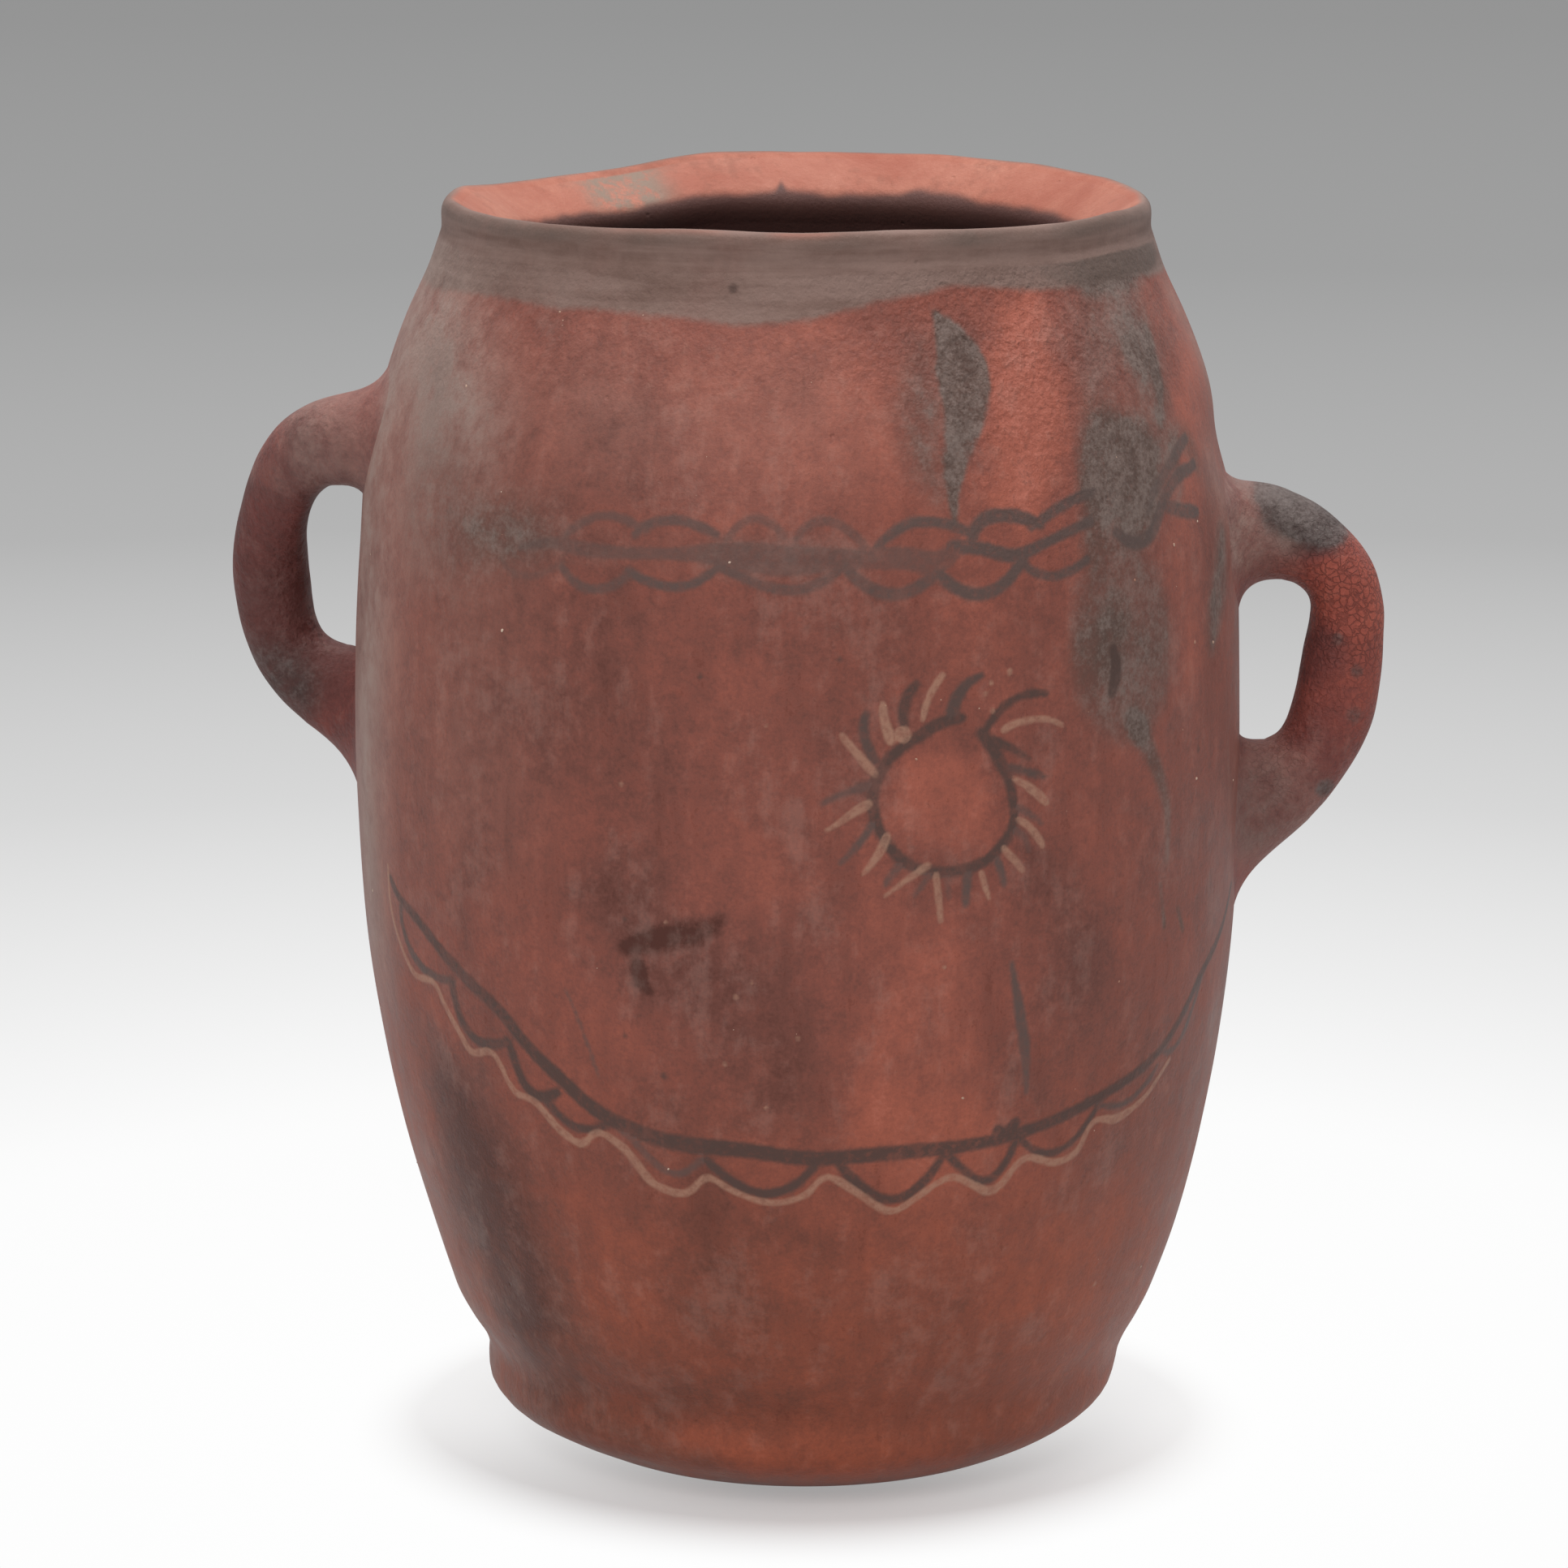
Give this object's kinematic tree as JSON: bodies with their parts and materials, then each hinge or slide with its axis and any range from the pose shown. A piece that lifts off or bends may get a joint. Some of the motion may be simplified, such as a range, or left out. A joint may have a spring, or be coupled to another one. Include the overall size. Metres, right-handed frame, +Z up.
{
  "type": "clay olla jar",
  "caption": "Coil-built earthenware olla: a tall bellied storage jar with a flat foot, a wide bevelled mouth and a thick loop handle on each side, painted with slip.",
  "frame": {"origin": "centre of the flat underside, on the jar's axis", "axes": "+Z up along the jar's axis, +X towards the lower of the handles, -Y towards the side that carries the painted ring"},
  "size_m": [0.4662, 0.3568, 0.511],
  "materials": {
    "clay_body": "burnished red slip with fire clouds and painted bands",
    "rim_slip": "dark worn slip outside, bare salmon clay inside the mouth",
    "handle_clay": "crackled red slip"
  },
  "bodies": {
    "root": {"base_pan": "clay_body", "lower_wall": "clay_body", "belly_wall": "clay_body", "handle_wall": "clay_body", "upper_wall": "clay_body", "shoulder_wall": "clay_body", "neck_collar": "rim_slip", "rim_coil": "rim_slip", "right_handle": "handle_clay", "left_handle": "handle_clay", "right_upper_root_collar": "handle_clay", "right_lower_root_collar": "handle_clay", "left_upper_root_collar": "handle_clay", "left_lower_root_collar": "handle_clay"}
  },
  "joints": []
}
